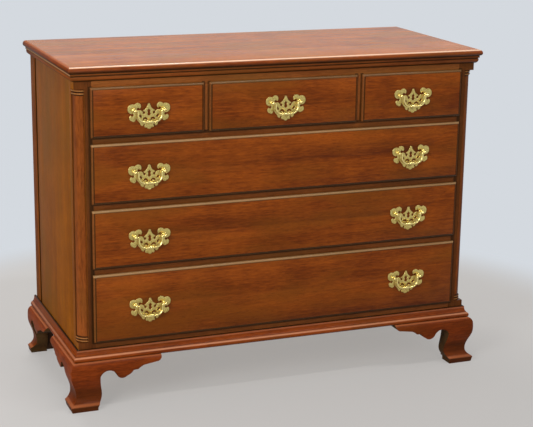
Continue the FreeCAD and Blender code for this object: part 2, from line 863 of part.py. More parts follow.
def pull_plate():
    """A pierced plate with scrolled ears, a finial and a three-lobed pendant."""
    plate = along_y(mirrored_face(plate_top, plate_edge, plate_place), -plate_thickness)
    holes = [mirrored_face(hourglass_top, hourglass_edge, plate_place)]
    for side in (-1, 1):
        holes.append(closed_face(
            crescent_tip, crescent_edge, lambda pair: point(side * pair[0], 0, pair[1])))
        lean = math.radians(oval_tilt)
        centre = point(side * oval_centre[0], 0, oval_centre[1])
        along = point(side * math.cos(lean), 0, math.sin(lean))
        across = point(-side * math.sin(lean), 0, math.cos(lean))
        ellipse = Part.Ellipse(centre + along * oval_long, centre + across * oval_short, centre)
        holes.append(Part.Face(Part.Wire(ellipse.toShape())))
    for hole in holes:
        plate = plate.cut(along_y(hole, -plate_thickness))
    for side in (-1, 1):
        plate = plate.cut(Part.makeCylinder(
            shank_radius, plate_thickness, point(side * boring / 2, 0, post_line),
            point(0, -1, 0)))
    return tidy(plate)


def pull_post():
    """A post: a shank through the drawer front, a flange, a neck and a pierced ball."""
    front_thickness = front_proud + front_rabbet
    shank_back = -(plate_thickness + front_thickness + nut_thickness + shank_end)
    ball_start = pivot_stand_off - math.sqrt(post_ball_radius ** 2 - post_neck_radius ** 2)
    steps = [
        ("line", (shank_radius, shank_back)),
        ("line", (shank_radius, 0)),
        ("line", (post_flange_radius, 0)),
        ("arc",
         (post_flange_radius * 0.86, post_flange_height * 0.72),
         (post_neck_radius, post_flange_height)),
        ("line", (post_neck_radius, ball_start)),
        ("arc", (post_ball_radius, pivot_stand_off), (0, pivot_stand_off + post_ball_radius)),
    ]
    profile = closed_face(
        (0, shank_back), steps, lambda pair: point(pair[0], -plate_thickness - pair[1], 0))
    post = profile.revolve(point(0, 0, 0), point(0, 1, 0), 360)
    hole = Part.makeCylinder(
        pin_radius + pin_clearance, 2 * post_ball_radius,
        point(-post_ball_radius, -plate_thickness - pivot_stand_off, 0), point(1, 0, 0))
    return tidy(post.cut(hole))


def pull_nut():
    """A square nut on the shank, against the back of the drawer front."""
    half = nut_width / 2
    back = front_proud + front_rabbet
    nut = block((-half, half), (back, back + nut_thickness), (-half, half))
    shank = Part.makeCylinder(
        shank_radius, nut_thickness, point(0, back, 0), point(0, 1, 0))
    return nut.cut(shank)


def bail_arm(side, hinge_y, start, arm, grip_end):
    """The bent wire from one post down to the end of the grip."""
    lean = 1 - math.sqrt(0.5)
    steps = [
        ("arc", (start - bail_shoulder * (1 - lean), -bail_shoulder * lean), (arm, -bail_shoulder)),
        ("line", (arm, bail_corner - bail_drop)),
        ("arc",
         (arm - bail_corner * lean, -bail_drop + bail_corner * lean),
         (grip_end, -bail_drop)),
    ]
    path = Part.Wire(edges_of(
        (start, 0), steps, lambda pair: point(side * pair[0], hinge_y, pair[1])))
    section = Part.Wire(Part.makeCircle(
        bail_radius, point(side * start, hinge_y, 0), point(1, 0, 0)))
    return path.makePipeShell([section], True, False)


def bail_grip(hinge_y, end):
    """The level part of the handle, turned with a swelling between two collars."""
    collar = grip_half_length + grip_collar_half
    swell = grip_half_length - grip_collar_half
    steps = [
        ("line", (-end, bail_radius)),
        ("line", (-collar, bail_radius)),
        ("arc", (-grip_half_length, grip_collar_radius), (-swell, bail_radius)),
        ("arc", (0, grip_radius), (swell, bail_radius)),
        ("arc", (grip_half_length, grip_collar_radius), (collar, bail_radius)),
        ("line", (end, bail_radius)),
        ("line", (end, 0)),
    ]
    middle = point(0, hinge_y, -bail_drop)
    profile = closed_face((-end, 0), steps, lambda pair: middle + point(pair[0], 0, pair[1]))
    return profile.revolve(middle, point(1, 0, 0), 360)


def bail_shape():
    """A swinging handle: two pins, a bent wire and a turned grip, as one casting."""
    hinge_y = -plate_thickness - pivot_stand_off
    start = boring / 2 - post_ball_radius - bail_gap
    arm = start - bail_shoulder
    grip_end = arm - bail_corner
    pin_length = bail_gap + post_ball_radius * 1.5
    pieces = []
    for side in (-1, 1):
        pieces.append(bail_arm(side, hinge_y, start, arm, grip_end))
        pieces.append(Part.makeCylinder(
            pin_radius, pin_length, point(side * start, hinge_y, 0), point(side, 0, 0)))
    return tidy(bail_grip(hinge_y, grip_end).multiFuse(pieces))


def main():
    os.makedirs("parts", exist_ok=True)
    save("top_board", [top_board()])
    save("top_moulding", top_moulding())
    save("front_rails", front_rails())
    save("drawer_dividers", [divider(-1), divider(1)])
    save("drawer_runners", drawer_runners())
    save("drawer_guides", drawer_guides())
    save("rear_stiles", [rear_stile(-1), rear_stile(1)])
    save("back_boards", back_boards())
    save("bottom_board", [bottom_board()])
    save("base_moulding", base_moulding())
    save("foot_glue_blocks", foot_glue_blocks())
    for name, side in (("left", -1), ("right", 1)):
        save(name + "_side_panel", [side_panel(side)])
        save(name + "_front_post", [front_post(side)])
        save(name + "_quarter_column", [quarter_column(side)])
        save("front_" + name + "_foot", front_foot(side))
        save("rear_" + name + "_foot", rear_foot(side))

    plate = pull_plate()
    post = pull_post()
    nut = pull_nut()
    bail = bail_shape()
    for drawer in [Drawer(*row) for row in drawers]:
        save(drawer.name + "_front", [drawer_front(drawer)])
        save(drawer.name + "_box", drawer_box(drawer))
        save(drawer.name + "_bottom", [drawer_bottom(drawer)])
        plates = []
        posts = []
        for x, z in drawer.pull_places():
            plates.append(plate.translated(point(x, drawer_face, z)))
            for side in (-1, 1):
                place = point(x + side * boring / 2, drawer_face, z + post_line)
                posts += [post.translated(place), nut.translated(place)]
        save(drawer.name + "_pull_plates", plates)
        save(drawer.name + "_pull_posts", posts)
        sides = [""] if len(plates) == 1 else ["_left", "_right"]
        for name, (x, z) in zip(sides, drawer.pull_places()):
            save(drawer.name + name + "_bail",
                 [bail.translated(point(x, drawer_face, z + post_line))])


main()
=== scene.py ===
import random
from collections import namedtuple
from math import cos, radians, sin

import bmesh
import bpy
from mathutils import Matrix, Vector


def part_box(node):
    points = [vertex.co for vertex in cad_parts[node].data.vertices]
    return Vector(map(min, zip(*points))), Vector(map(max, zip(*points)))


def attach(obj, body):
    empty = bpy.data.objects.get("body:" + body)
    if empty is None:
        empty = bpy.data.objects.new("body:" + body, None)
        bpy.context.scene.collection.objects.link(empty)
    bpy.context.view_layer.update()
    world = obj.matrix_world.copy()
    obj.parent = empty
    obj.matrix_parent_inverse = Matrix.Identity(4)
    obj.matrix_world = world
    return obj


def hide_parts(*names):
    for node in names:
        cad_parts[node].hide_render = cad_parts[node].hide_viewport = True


# A chest of drawers in red-brown wood with pierced brass pulls.  Every board is a copy of its
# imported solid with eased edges, and carries wood grain that runs along its own length.

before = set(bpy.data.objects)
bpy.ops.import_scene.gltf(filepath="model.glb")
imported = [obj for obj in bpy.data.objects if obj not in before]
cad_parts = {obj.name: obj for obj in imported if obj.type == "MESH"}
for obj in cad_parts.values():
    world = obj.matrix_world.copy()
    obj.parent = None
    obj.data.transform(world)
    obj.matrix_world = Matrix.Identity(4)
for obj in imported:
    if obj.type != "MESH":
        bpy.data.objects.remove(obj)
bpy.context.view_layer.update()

MM = 0.001

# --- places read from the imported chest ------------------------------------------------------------
rows = ["lower", "middle", "upper", "top_middle"]
drawer_names = ["lower", "middle", "upper", "top_left", "top_middle", "top_right"]
side_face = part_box("right_side_panel")[1].x
case_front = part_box("front_rails")[0].y
drawer_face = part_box("lower_front")[0].y
column_low, column_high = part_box("right_quarter_column")
top_low, top_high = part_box("top_board")
base_low, base_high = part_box("base_moulding")
under_low, under_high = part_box("top_moulding")

# --- places on the feet and the columns -----------------------------------------------------------
foot_waist = 43.0 * MM
foot_toe = 15.0 * MM
bracket_inset = 20.0 * MM        # the flat backs of the brackets, in from the face of the case
sawn_below = 0.5 * MM            # sawn edges end this far under the base moulding
ring_height = 6.0 * MM           # each of the two rings at an end of a column
ring_gap = 1.2 * MM
ring_start = 1.0 * MM            # the first ring, in from the end of the column

# --- eased edges ----------------------------------------------------------------------------------
merge_distance = 0.001 * MM
flat_angle = radians(0.5)        # faces closer than this to one plane become one face
sharp_angle = radians(35)
ease_segments = 2
case_ease = 0.9 * MM
inner_ease = 0.6 * MM
panel_ease = 0.4 * MM
moulding_ease = 0.35 * MM
plate_ease = 0.35 * MM
front_ease = 0.3 * MM
column_ease = 0.3 * MM
top_ease = 0.2 * MM

# --- directions of faces, by their share along an axis --------------------------------------------
straight = 0.999                 # a face with less than this along an axis isn't square to it
askew = 0.2                      # a face turned sideways by less than this isn't a side face
on_edge = 0.02                   # a sawn edge has less than this along the way its bracket faces

# --- woods: colours as red, green and blue from 0 to 255 ------------------------------------------
Look = namedtuple("Look", "pale deep roughness gloss")
front_look = Look((140, 68, 14), (92, 38, 5), 0.34, 0.095)
lip_look = Look((108, 68, 30), (76, 46, 17), 0.24, 0.2)
lip_end_look = Look((126, 72, 32), (96, 52, 20), 0.4, 0.04)
case_look = Look((152, 86, 36), (116, 60, 20), 0.36, 0.1)
# the rails under the top row, painted darker than the case wood as painted shade
shaded_rail_look = Look((122, 66, 26), (88, 45, 14), 0.36, 0.08)
post_look = Look((104, 55, 20), (74, 37, 11), 0.36, 0.06)
column_look = Look((136, 70, 25), (87, 41, 12), 0.3, 0.045)
under_look = Look((132, 68, 24), (94, 44, 12), 0.32, 0.08)
side_look = Look((139, 78, 12), (108, 56, 6), 0.5, 0.015)
stile_look = Look((136, 74, 26), (94, 46, 13), 0.5, 0.01)
# the top is painted paler than the other woods: painted light for the light falling on it
painted_lit_top_look = Look((198, 112, 38), (140, 70, 18), 0.18, 0.027)
top_edge_look = Look((150, 70, 15), (100, 40, 6), 0.2, 0.14)
top_side_edge_look = Look((132, 58, 14), (92, 34, 6), 0.35, 0.01)
base_look = Look((136, 60, 12), (88, 32, 4), 0.26, 0.1)
foot_look = Look((132, 56, 14), (86, 32, 5), 0.3, 0.07)
sawn_look = Look((78, 54, 30), (50, 32, 16), 0.6, 0.03)
# glue blocks painted almost black, as painted shade inside the feet
shaded_block_look = Look((54, 32, 18), (36, 20, 11), 0.7, 0.1)
inner_look = Look((196, 160, 112), (160, 122, 78), 0.6, 0.3)

# the same woods on faces turned to the side, where their polish is duller
under_side_look = under_look._replace(roughness=0.5, gloss=0.015)
base_side_look = base_look._replace(roughness=0.4, gloss=0.02)
foot_side_look = foot_look._replace(roughness=0.4, gloss=0.015)

# --- wood grain: each scale is in cells per metre, first along the board and then across it -------
sway_scale = (1.6, 4.0, 4.0)
figure_scale = (1.8, 24.0, 24.0)
streak_scale = (7.0, 190.0, 190.0)
mottle_scale = (11.0, 8.0, 8.0)
fleck_scale = (42.0, 300.0, 300.0)
pore_scale = (70.0, 1500.0, 1500.0)
patch_scale = (4.0, 15.0, 15.0)
coarse_detail = 1.0
plain_detail = 2.0
fine_detail = 3.0
noise_roughness = 0.55
sway_reach = 0.05                # how far the grain wanders across the board, in metres
grain_spread = 7.0               # boards take their grain from places this far apart, in metres
figure_part = 0.34               # what each pattern adds to the tone
streak_part = 0.2
mottle_part = 0.2
fleck_part = 0.26
tone_range = (0.36, 0.64)        # from the deep colour to the pale one
patch_range = (0.42, 0.7)
patch_strength = 0.7
olive_share = (0.62, 0.76, 0.7)  # of the pale colour's red, green and blue, in olive patches
bare_share = (0.86, 0.8, 0.7)    # the same in bare wood, whose patches are warmer
pore_range = (0.56, 0.68)
pore_strength = 0.45
pore_shares = (0.45, 0.45, 0.45)     # of the deep colour, in the pores
streak_range = (0.2, 0.8)
smoother = 0.04                  # the smoothest streaks, under the wood's own roughness
rougher = 0.05                   # the roughest ones, over it
streak_relief = 0.35
pore_relief = -0.5
grain_depth = 0.12 * MM

# --- painted highlights and painted shade: colours ------------------------------------------------
# dark brown for painted shade in gaps, grooves, quirks and hollows, and under drawers, lips and edges
painted_shade_brown = (34, 22, 6)
# the pale colours below are painted highlights on edges, fillets, lips, rings, beads and feet
painted_edge_highlight = (246, 202, 166)
painted_side_edge_highlight = (160, 88, 44)
painted_fillet_highlight = (180, 146, 104)
painted_lip_highlight = (184, 142, 94)
painted_ring_highlight = (170, 140, 84)
painted_base_highlight = (206, 142, 104)
painted_foot_highlight = (180, 106, 66)

# --- painted highlights and painted shade: a line has a full half-width, a distance to fade over and, below 1, a share ---
streaked_shading = (0.2, 0.7, 0.8, 1.0)   # as streaks go from 0.2 to 0.7, painted highlights and painted shade go from 0.8 to full
lip_drop = 2.4 * MM              # the crown of an upper lip, below the drawer's upper edge
lip_line = (1.2 * MM, 2.8 * MM)
long_lip_share = 0.52
small_lip_share = 0.14
step_depth = 1.2 * MM            # the step of a thumb moulding, behind the drawer's face
step_line = (0.5 * MM, 0.8 * MM, 0.85)
low_lip_line = (1.5 * MM, 3.0 * MM, 0.6)
pull_drop = 14.0 * MM            # the middle of the shade round a pull, below the top of its bail
pull_squeeze = 0.62              # its height as a share of its width
pull_range = (38.0 * MM, 22.0 * MM)
pull_share = 0.35
gap_reach = 2.5 * MM             # full painted shade on the case, out from the edge of a drawer
gap_fade = 3.5 * MM
upright_gap_fade = 6.0 * MM
gap_share = 0.78
column_clear = 1.0 * MM          # full painted shade on a column, out from its post or its side
by_post_reach = 5.0 * MM
by_post_share = 0.45
by_side_reach = 4.0 * MM
by_side_share = 0.35
groove_line = (0.8 * MM, 1.3 * MM)
ring_line = (0.4 * MM, 1.2 * MM, 0.4)
under_foot_line = (1.8 * MM, 3.0 * MM)
quirk_drop = 6.4 * MM            # the quirk of the moulding under the top
quirk_line = (0.8 * MM, 1.6 * MM, 0.85)
fillet_drop = 3.0 * MM
fillet_line = (0.8 * MM, 1.4 * MM, 0.5)
base_edge_line = (0.6 * MM, 1.6 * MM)
bead_rise = 11.4 * MM            # the crown of the base moulding's bead, above its foot
bead_line = (0.6 * MM, 2.0 * MM, 0.66)
side_bead_rise = 11.6 * MM
side_bead_line = (0.8 * MM, 2.0 * MM, 0.3)
cove_rise = 14.4 * MM
cove_line = (0.3 * MM, 1.2 * MM, 0.35)
round_drop = 4.0 * MM            # the crown of the small round along the base moulding's top
round_line = (0.6 * MM, 1.8 * MM, 0.25)
waist_line = (8.0 * MM, 22.0 * MM, 0.5)
sole_range = (foot_toe + 1.5 * MM, foot_toe - 1.0 * MM)
sole_share = 0.6
brow_drop = 1.0 * MM             # the upper edge of a foot, below the base moulding
brow_line = (0.8 * MM, 1.6 * MM, 0.55)
toe_rise = 1.6 * MM
toe_line = (1.6 * MM, 3.0 * MM, 0.5)
# painted shade on the top's rounded edge, and a painted highlight along its upper corner
edge_range = (top_high.z - 5.0 * MM, top_low.z + 2.0 * MM)
arris_range = (top_high.z - 3.2 * MM, top_high.z - 1.2 * MM)
edge_share = 0.9
strip_wall_range = (side_face - 0.2 * MM, side_face - 1.4 * MM)
strip_wall_share = 0.92
strip_floor_range = (side_face - 3.3 * MM, side_face - 3.9 * MM)
strip_floor_share = 0.45

# --- brass ----------------------------------------------------------------------------------------
brass_bright = (226, 204, 126)
brass_dull = (184, 156, 78)
polished_brass = (246, 224, 146)
plate_roughness = 0.34
plate_cast_depth = 0.12 * MM
bail_roughness = 0.2
bail_cast_depth = 0.02 * MM
cloud_scale = (420.0, 420.0, 420.0)
cast_scale = (700.0, 700.0, 700.0)
cloud_range = (0.35, 0.62)
dulling_range = (0.3, 0.7)
dulling = 0.04                   # added to the roughness in the hollows, and taken off the crowns

# --- floor, backdrop and lamps --------------------------------------------------------------------
floor_grey = (196, 193, 190)
floor_roughness = 0.95
floor_gloss = 0.1
floor_size = 20.0
floor_lift = 0.6                 # share of the floor's own colour seen whatever falls on it
floor_fade = (1.0, 1.35)         # distances from the chest's middle over which the floor ends
backdrop = (212, 217, 223)
daylight = (0.95, 0.97, 1.0, 1.0)
daylight_strength = 0.52

# each lamp's place and the point that it looks at in metres, its width and height, and its watts
lamps = {
    "key": ((-2.75, -2.15, 1.75), (0, 0, 0.4), (1.4, 1.4), 73),
    "overhead": ((0.7, -1.3, 2.9), (0.7, -0.2, 0.8), (2.4, 0.12), 26),
    "behind": ((-0.4, 2.0, 2.7), (-0.4, -0.2, 0.88), (1.7, 0.25), 54),
    "fill": ((-1.9, -3.0, 0.9), (-0.4, 0, 0.2), (1.8, 0.7), 11.5),
}

# --- camera ---------------------------------------------------------------------------------------
camera_azimuth = radians(-21.886)
camera_elevation = radians(14.718)
camera_roll = radians(0.887)
camera_target = Vector((57.7, -0.2, 402.8)) * MM
camera_distance = 3961.8 * MM
camera_lens = 97.02
camera_sensor = 36
camera_shift = (-0.00627, 0.00229)


def linear(rgb):
    """A colour from 0 to 255, as the shader wants it."""
    steps = [value / 255 for value in rgb]
    return tuple(s / 12.92 if s < 0.04045 else ((s + 0.055) / 1.055) ** 2.4 for s in steps) + (1.0,)


def tinted(rgb, shares):
    """A share of each of a colour's red, green and blue, as the shader wants it."""
    return tuple(value * share for value, share in zip(linear(rgb)[:3], shares)) + (1.0,)


# --- materials ------------------------------------------------------------------------------------
class Finish:
    """A material, with short calls that add and join its nodes."""

    def __init__(self, name):
        self.material = bpy.data.materials.new(name)
        self.material.use_nodes = True
        self.tree = self.material.node_tree
        self.shader = self.tree.nodes["Principled BSDF"]

    def put(self, socket, value):
        if isinstance(value, bpy.types.NodeSocket):
            self.tree.links.new(value, socket)
        else:
            socket.default_value = value

    def give(self, name, value):
        self.put(self.shader.inputs[name], value)

    def node(self, kind, inputs, **settings):
        made = self.tree.nodes.new("ShaderNode" + kind)
        for name, value in settings.items():
            setattr(made, name, value)
        for name, value in inputs.items():
            self.put(made.inputs[name], value)
        return made

    def work_out(self, operation, *values):
        made = self.node("Math", {}, operation=operation)
        for socket, value in zip(made.inputs, values):
            self.put(socket, value)
        return made.outputs[0]

    def noise(self, place, scale, detail=plain_detail):
        """Noise from 0 to 1, finer along the axes with the larger scales."""
        stretched = self.node("VectorMath", {0: place, 1: scale}, operation="MULTIPLY").outputs[0]
        return self.node(
            "TexNoise",
            {"Vector": stretched, "Scale": 1.0, "Detail": detail, "Roughness": noise_roughness},
        ).outputs["Fac"]

    def ramp(self, value, start, end, low=0.0, high=1.0):
        """Slides from low to high as the value goes from start to end."""
        return self.node(
            "MapRange",
            {"Value": value, "From Min": start, "From Max": end, "To Min": low, "To Max": high},
            interpolation_type="SMOOTHSTEP",
        ).outputs["Result"]

    def blend(self, share, first, second):
        return self.node("Mix", {0: share, 6: first, 7: second}, data_type="RGBA").outputs[2]

    def length(self, place):
        return self.node("VectorMath", {0: place}, operation="LENGTH").outputs["Value"]

    def place(self):
        """The three coordinates on the chest."""
        coordinates = self.node("TexCoord", {}).outputs["Object"]
        return self.node("SeparateXYZ", {0: coordinates}).outputs

    def least(self, distances):
        smallest = distances[0]
        for distance in distances[1:]:
            smallest = self.work_out("MINIMUM", smallest, distance)
        return smallest

    def near(self, value, levels, full, fade, share=1.0):
        """The share within a distance of any of the levels, fading to 0 beyond it."""
        away = [self.work_out("ABSOLUTE", self.work_out("SUBTRACT", value, level)) for level in levels]
        return self.ramp(self.least(away), full + fade, full, 0.0, share)

    def bump(self, height, depth):
        self.give("Normal", self.node("Bump", {"Height": height, "Distance": depth}).outputs[0])


def wood(name, look, painted_shading=(), patch_share=olive_share):
    """Wood that reads each board's own coordinates, with X along the grain.

    Each painted highlight and each painted shade is a colour and a function that says where it lies,
    from 0 to 1."""
    finish = Finish(name)
    board = finish.node("Attribute", {}, attribute_name="board").outputs["Vector"]
    sway = finish.work_out("MULTIPLY", finish.noise(board, sway_scale), sway_reach)
    offset = finish.node("CombineXYZ", {1: sway}).outputs[0]
    swayed = finish.node("VectorMath", {0: board, 1: offset}).outputs[0]
    figure = finish.noise(swayed, figure_scale, fine_detail)
    streaks = finish.noise(swayed, streak_scale, fine_detail)
    mottle = finish.noise(board, mottle_scale)
    flecks = finish.noise(swayed, fleck_scale)
    tone = finish.work_out("MULTIPLY", figure, figure_part)
    for pattern, part in ((streaks, streak_part), (mottle, mottle_part), (flecks, fleck_part)):
        tone = finish.work_out("MULTIPLY_ADD", pattern, part, tone)
    colour = finish.blend(finish.ramp(tone, *tone_range), linear(look.deep), linear(look.pale))
    patches = finish.ramp(finish.noise(swayed, patch_scale), *patch_range, 0.0, patch_strength)
    colour = finish.blend(patches, colour, tinted(look.pale, patch_share))
    pores = finish.ramp(finish.noise(swayed, pore_scale, coarse_detail), *pore_range)
    dark_pores = finish.work_out("MULTIPLY", pores, pore_strength)
    colour = finish.blend(dark_pores, colour, tinted(look.deep, pore_shares))
    # painted highlights and painted shade, laid over the wood's own colour and thinned along its
    # streaks
    for painted_colour, where in painted_shading:
        share = finish.work_out("MULTIPLY", where(finish), finish.ramp(streaks, *streaked_shading))
        colour = finish.blend(share, colour, linear(painted_colour))
    smooth = look.roughness - smoother
    rough = look.roughness + rougher
    finish.give("Base Color", colour)
    finish.give("Roughness", finish.ramp(streaks, *streak_range, smooth, rough))
    finish.give("Specular IOR Level", look.gloss)
    relief = finish.work_out("MULTIPLY", streaks, streak_relief)
    finish.bump(finish.work_out("MULTIPLY_ADD", pores, pore_relief, relief), grain_depth)
    return finish.material


def brass(name, bright, dull, roughness, cast_depth):
    """Lacquered brass, duller in the hollows of its cast."""
    finish = Finish(name)
    coordinates = finish.node("TexCoord", {}).outputs["Object"]
    cloud = finish.noise(coordinates, cloud_scale, fine_detail)
    colour = finish.blend(finish.ramp(cloud, *cloud_range), linear(dull), linear(bright))
    finish.give("Base Color", colour)
    finish.give("Metallic", 1.0)
    finish.give(
        "Roughness", finish.ramp(cloud, *dulling_range, roughness + dulling, roughness - dulling))
    finish.bump(finish.noise(coordinates, cast_scale), cast_depth)
    return finish.material


# --- where each painted highlight and painted shade lies, from 0 to 1 -----------------------------
def level_lines(levels, full, fade, share=1.0):
    """Along level lines of a moulding."""
    def where(finish):
        return finish.near(finish.place()["Z"], levels, full, fade, share)
    return where


def upper_lips(finish, height, names, share=1.0):
    """The share on the upper lip of each named drawer, and 0 below it."""
    levels = [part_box(name + "_front")[1].z - lip_drop for name in names]
    return finish.near(height, levels, *lip_line, share)


def lip_glaze(finish):
    """Painted shade at the step of a drawer's thumb moulding and on the flat edge of its lip, but not
    above.
    """
    place = finish.place()
    step = finish.near(place["Y"], [drawer_face + step_depth], *step_line)
    low_edges = [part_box(name + "_front")[0].z for name in rows]
    under = finish.near(place["Z"], low_edges, *low_lip_line)
    shade_kept = finish.work_out("SUBTRACT", 1.0, upper_lips(finish, place["Z"], rows))
    return finish.work_out("MULTIPLY", finish.work_out("MAXIMUM", step, under), shade_kept)


def lip_rub(finish):
    """Painted highlight on the upper lip of each drawer."""
    height = finish.place()["Z"]
    long_drawers = upper_lips(finish, height, rows[:-1], long_lip_share)
    small_drawers = upper_lips(finish, height, rows[-1:], small_lip_share)
    return finish.work_out("ADD", small_drawers, long_drawers)


def pull_shade(finish):
    """Painted shade round and behind the pierced plate of each pull."""
    place = finish.place()
    away = []
    for name in drawer_names:
        bails = [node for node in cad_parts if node.startswith(name) and node.endswith("_bail")]
        for bail in bails:
            low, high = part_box(bail)
            across = finish.work_out("SUBTRACT", place["X"], (low.x + high.x) / 2)
            squeezed = finish.work_out("MULTIPLY", across, pull_squeeze)
            up = finish.work_out("SUBTRACT", place["Z"], high.z - pull_drop)
            away.append(finish.length(finish.node("CombineXYZ", {0: squeezed, 1: up}).outputs[0]))
    return finish.ramp(finish.least(away), *pull_range, 0.0, pull_share)


def case_glaze(finish):
    """Painted shade on the face of the case, under each drawer and close beside it."""
    place = finish.place()
    levels = [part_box(name + "_front")[0].z for name in rows]
    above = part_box("top_middle_front")[1].z
    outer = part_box("lower_front")[1].x
    between = [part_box("top_right_front")[0].x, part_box("top_middle_front")[1].x]
    aside = finish.work_out("ABSOLUTE", place["X"])
    level = finish.near(place["Z"], levels, gap_reach, gap_fade)
    level = finish.work_out("MULTIPLY", level, finish.work_out("LESS_THAN", aside, outer + gap_reach))
    upright = finish.near(aside, [outer], gap_reach, upright_gap_fade)
    top_row = finish.work_out("GREATER_THAN", place["Z"], levels[-1])
    short = finish.work_out("MULTIPLY", finish.near(aside, between, gap_reach, gap_fade), top_row)
    upright = finish.work_out("MAXIMUM", upright, short)
    below = finish.work_out("LESS_THAN", place["Z"], above + gap_reach)
    over = finish.work_out("GREATER_THAN", place["Z"], levels[0] - gap_reach)
    upright = finish.work_out("MULTIPLY", upright, finish.work_out("MULTIPLY", below, over))
    on_face = finish.work_out("LESS_THAN", place["Y"], case_front + gap_reach)
    dark = finish.work_out("MULTIPLY", finish.work_out("MAXIMUM", level, upright), on_face)
    return finish.work_out("MULTIPLY", dark, gap_share)


def from_both_ends(steps):
    """Heights on a column, counted in from both of its ends."""
    return [column_low.z + step for step in steps] + [column_high.z - step for step in steps]


def column_glaze(finish):
    """Painted shade where a column meets its post and its side, and in the grooves of its rings."""
    place = finish.place()
    aside = finish.work_out("ABSOLUTE", place["X"])
    inner = finish.work_out("SUBTRACT", aside, column_low.x)
    outer = finish.work_out("SUBTRACT", column_high.y, place["Y"])
    by_post = finish.ramp(inner, by_post_reach, column_clear, 0.0, by_post_share)
    by_side = finish.ramp(outer, by_side_reach, column_clear, 0.0, by_side_share)
    first_groove = ring_start + ring_height + ring_gap / 2
    second_groove = ring_start + 2 * ring_height + 1.5 * ring_gap
    levels = from_both_ends([0.0, first_groove, second_groove])
    grooves = finish.near(place["Z"], levels, *groove_line)
    return finish.work_out("MAXIMUM", finish.work_out("MAXIMUM", by_post, by_side), grooves)


def ring_rub(finish):
    """Painted highlight on the crowns of a column's rings."""
    levels = from_both_ends([ring_start + ring_height / 2, ring_start + 1.5 * ring_height + ring_gap])
    return finish.near(finish.place()["Z"], levels, *ring_line)


def foot_glaze(finish):
    """Painted shade in the waist of a foot and round its sole."""
    height = finish.place()["Z"]
    waist = finish.near(height, [foot_waist], *waist_line)
    return finish.work_out("MAXIMUM", waist, finish.ramp(height, *sole_range, 0.0, sole_share))


def foot_rub(finish):
    """Painted highlight along the upper edge of a foot, and along its toe."""
    height = finish.place()["Z"]
    brow = finish.near(height, [base_low.z - brow_drop], *brow_line)
    toe = finish.near(height, [foot_toe + toe_rise], *toe_line)
    return finish.work_out("MAXIMUM", brow, toe)


def edge_glaze(finish):
    """Painted shade on the top's rounded edge, deeper towards its underside."""
    return finish.ramp(finish.place()["Z"], *edge_range, 0.0, edge_share)


def arris_rub(finish):
    """Painted highlight along the upper corner of the top's rounded edge."""
    return finish.ramp(finish.place()["Z"], *arris_range, 0.0, edge_share)


def stile_glaze(finish):
    """Painted shade on the walls of a rear stile's sunk strip, and more thinly on its floor."""
    aside = finish.work_out("ABSOLUTE", finish.place()["X"])
    walls = finish.ramp(aside, *strip_wall_range, 0.0, strip_wall_share)
    shade_kept = finish.ramp(aside, *strip_floor_range, 1.0, strip_floor_share)
    return finish.work_out("MULTIPLY", walls, shade_kept)


# --- pieces ---------------------------------------------------------------------------------------
def boards_in(mesh):
    """Face numbers of each closed board; the faces of one board follow each other."""
    places = [tuple(round(value / merge_distance) for value in vert.co) for vert in mesh.vertices]
    open_edges = set()
    board = []
    for face in mesh.polygons:
        corners = [places[number] for number in face.vertices]
        for pair in zip(corners, corners[1:] + corners[:1]):
            open_edges ^= {frozenset(pair)}
        board.append(face.index)
        if not open_edges:
            yield board
            board = []


def lay_grain(board, picker):
    """Give a board coordinates of its own, with the first along its longest side."""
    layer = board.verts.layers.float_vector.new("board")
    spans = []
    for axis in range(3):
        values = [vert.co[axis] for vert in board.verts]
        spans.append(max(values) - min(values))
    along = spans.index(max(spans))
    order = [along] + [axis for axis in range(3) if axis != along]
    shift = Vector([picker.uniform(0, grain_spread) for axis in order])
    for vert in board.verts:
        vert[layer] = Vector([vert.co[axis] for axis in order]) + shift


def copy_boards(node, whole_faces=True):
    """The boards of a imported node, each closed by itself and with grain of its own."""
    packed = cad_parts[node].data
    holder = bpy.data.meshes.new(node)
    whole = bmesh.new()
    for number, faces in enumerate(boards_in(packed)):
        board = bmesh.new()
        board.from_mesh(packed)
        kept = set(faces)
        spare = [face for face in board.faces if face.index not in kept]
        bmesh.ops.delete(board, geom=spare, context="FACES")
        bmesh.ops.remove_doubles(board, verts=board.verts, dist=merge_distance)
        if whole_faces:
            bmesh.ops.dissolve_limit(
                board, angle_limit=flat_angle, verts=board.verts, edges=board.edges)
        lay_grain(board, random.Random(node + str(number)))
        board.to_mesh(holder)
        board.free()
        whole.from_mesh(holder)
    bpy.data.meshes.remove(holder)
    return whole


def finish_piece(name, shape, material, body, nodes):
    """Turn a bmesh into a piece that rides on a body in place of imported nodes."""
    for face in shape.faces:
        face.smooth = True
    mesh = bpy.data.meshes.new(name)
    shape.to_mesh(mesh)
    shape.free()
    mesh.materials.append(material)
    piece = bpy.data.objects.new(name, mesh)
    bpy.context.collection.objects.link(piece)
    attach(piece, body)
    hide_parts(*nodes)
    return piece


def ease_edges(piece, width, clamp=True):
    bevel = piece.modifiers.new("eased edges", "BEVEL")
    bevel.width = width
    bevel.segments = ease_segments
    bevel.limit_method = "ANGLE"
    bevel.angle_limit = sharp_angle
    bevel.use_clamp_overlap = clamp
    bevel.harden_normals = True


def refinish(piece, material, chosen):
    """Give another finish to the faces that are chosen by their middle and direction."""
    number = len(piece.data.materials)
    piece.data.materials.append(material)
    for face in piece.data.polygons:
        if chosen(face.center, face.normal):
            face.material_index = number


def board_piece(node, material, body, width, clamp=True):
    """A wooden piece with eased edges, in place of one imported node."""
    piece = finish_piece(node + "_wood", copy_boards(node), material, body, [node])
    ease_edges(piece, width, clamp)
    return piece


# --- faces that get a finish of their own, by their middle and direction --------------------------
def sideways(middle, direction):
    return abs(direction.x) > max(abs(direction.y), askew)


def at_end(middle, direction):
    return abs(direction.x) > abs(direction.y)


